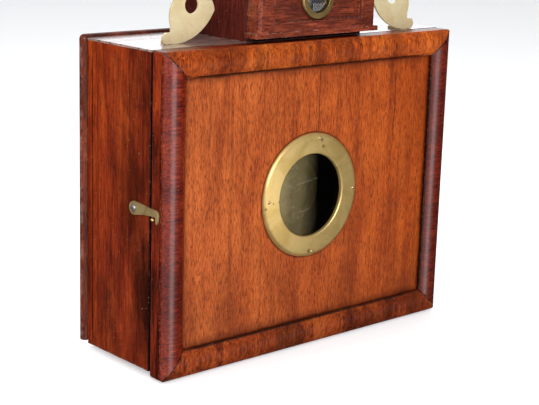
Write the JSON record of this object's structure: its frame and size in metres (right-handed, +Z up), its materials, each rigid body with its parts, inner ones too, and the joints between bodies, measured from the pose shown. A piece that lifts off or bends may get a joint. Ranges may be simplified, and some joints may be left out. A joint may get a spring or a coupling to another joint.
{
  "type": "view camera",
  "caption": "Box-form wooden view camera: windowed front door on a hinge, hook latch, reflex finder housing on top, geared focus, rising lens panel and a hinged ground-glass back.",
  "frame": {"origin": "mouth of the tripod bush, on the underside of the case, at mid width and mid depth", "axes": "+Z up; -Y toward the front door and window, +Y toward the focusing screen; +X to the right seen from the front"},
  "size_m": [0.3178, 0.1184, 0.3054],
  "materials": {
    "case_wood": "aged polished mahogany",
    "moulding_wood": "cross-banded veneer, polished",
    "panel_veneer": "straight-grained veneer, worn polish",
    "blacked_wood": "matt black stain",
    "brass": "aged, lightly tarnished",
    "pale_brass": "polished, pale",
    "steel": "dull",
    "window_glass": "clear, dusty",
    "lens_glass": "polished",
    "ground_glass": "finely ground",
    "mirror": "silvered",
    "velvet": "black pile",
    "bellows_cloth": "matt black, grained"
  },
  "bodies": {
    "case": {"left_side": "case_wood", "right_side": "case_wood", "top_board": "case_wood", "bottom_board": "case_wood", "back_board": "case_wood", "light_seal": "velvet", "base_runner_left": "case_wood", "base_runner_right": "case_wood", "tripod_bush": "brass", "wood_screws": "brass", "door_hinge_fixed": "brass", "screen_hinge_fixed": "brass", "finder_hinge_fixed": "brass", "lid_hinge_fixed": "brass", "hinge_pins": "steel", "latch_screw": "steel", "guide_rail_left": "brass", "guide_rail_right": "brass", "button_stud": "brass", "ear_left": "pale_brass", "ear_right": "pale_brass", "finder_left_side": "case_wood", "finder_right_side": "case_wood", "finder_back": "case_wood", "finder_mirror": "mirror", "finder_screen": "ground_glass"},
    "door": {"door_frame": "case_wood", "door_panel": "panel_veneer", "moulding_top": "moulding_wood", "moulding_bottom": "moulding_wood", "moulding_left": "moulding_wood", "moulding_right": "moulding_wood", "window_ring": "brass", "window_glass": "window_glass", "window_pins": "brass", "door_hinge_leaf": "brass", "catch_pin": "brass"},
    "hook": {"latch_hook": "brass"},
    "finder_front": {"finder_door": "case_wood", "finder_lens_ring": "brass", "finder_lens": "lens_glass", "finder_hinge_leaf": "brass"},
    "lid": {"finder_lid": "case_wood", "lid_hinge_leaf": "brass"},
    "standard": {"lens_standard": "blacked_wood", "focus_rack": "brass", "bellows": "bellows_cloth"},
    "rising_front": {"rising_panel": "blacked_wood", "lens_flange": "brass", "lens_barrel": "brass", "front_glass": "lens_glass", "rear_glass": "lens_glass"},
    "iris": {"iris_ring": "pale_brass"},
    "knob": {"pinion_shaft": "steel", "focus_knob": "brass"},
    "screen_back": {"screen_frame": "case_wood", "ground_glass": "ground_glass", "screen_hinge_leaf": "brass"},
    "button": {"turn_button": "brass"}
  },
  "joints": [
    {"name": "door_hinge", "type": "hinge", "parent": "case", "child": "door", "pos_m": [0.1532, -0.04075, 0.121], "axis": [0, 0, 1], "range_deg": [0, 165]},
    {"name": "hook_turn", "type": "hinge", "parent": "case", "child": "hook", "pos_m": [-0.1508, -0.0216, 0.1231], "axis": [-1, 0, 0], "range_deg": [0, 95]},
    {"name": "finder_door_hinge", "type": "hinge", "parent": "case", "child": "finder_front", "pos_m": [0.0629, -0.04095, 0.2739], "axis": [0, 0, 1], "range_deg": [0, 120]},
    {"name": "finder_lid_hinge", "type": "hinge", "parent": "case", "child": "lid", "pos_m": [0, 0.0422, 0.29415], "axis": [-1, 0, 0], "range_deg": [0, 100]},
    {"name": "focus_slide", "type": "slide", "parent": "case", "child": "standard", "axis": [0, 1, 0], "range_m": [0, 0.01], "deforming": ["bellows"]},
    {"name": "rise_slide", "type": "slide", "parent": "standard", "child": "rising_front", "axis": [0, 0, 1], "range_m": [-0.01, 0.015]},
    {"name": "iris_turn", "type": "hinge", "parent": "rising_front", "child": "iris", "pos_m": [-0.0024, -0.033, 0.1186], "axis": [0, 1, 0], "range_deg": [-45, 45]},
    {"name": "focus_knob_turn", "type": "hinge", "parent": "case", "child": "knob", "pos_m": [0, 0.008, 0.025], "axis": [1, 0, 0], "range_deg": [0, 120]},
    {"name": "screen_hinge", "type": "hinge", "parent": "case", "child": "screen_back", "pos_m": [-0.1204, 0.0481, 0.12], "axis": [0, 0, 1], "range_deg": [0, 100]},
    {"name": "button_turn", "type": "hinge", "parent": "case", "child": "button", "pos_m": [0.1245, 0.0574, 0.12], "axis": [0, 1, 0], "range_deg": [0, 90]}
  ],
  "couplings": [
    {"joint": "focus_knob_turn", "follows": "focus_slide", "rad_per_m": 200}
  ]
}
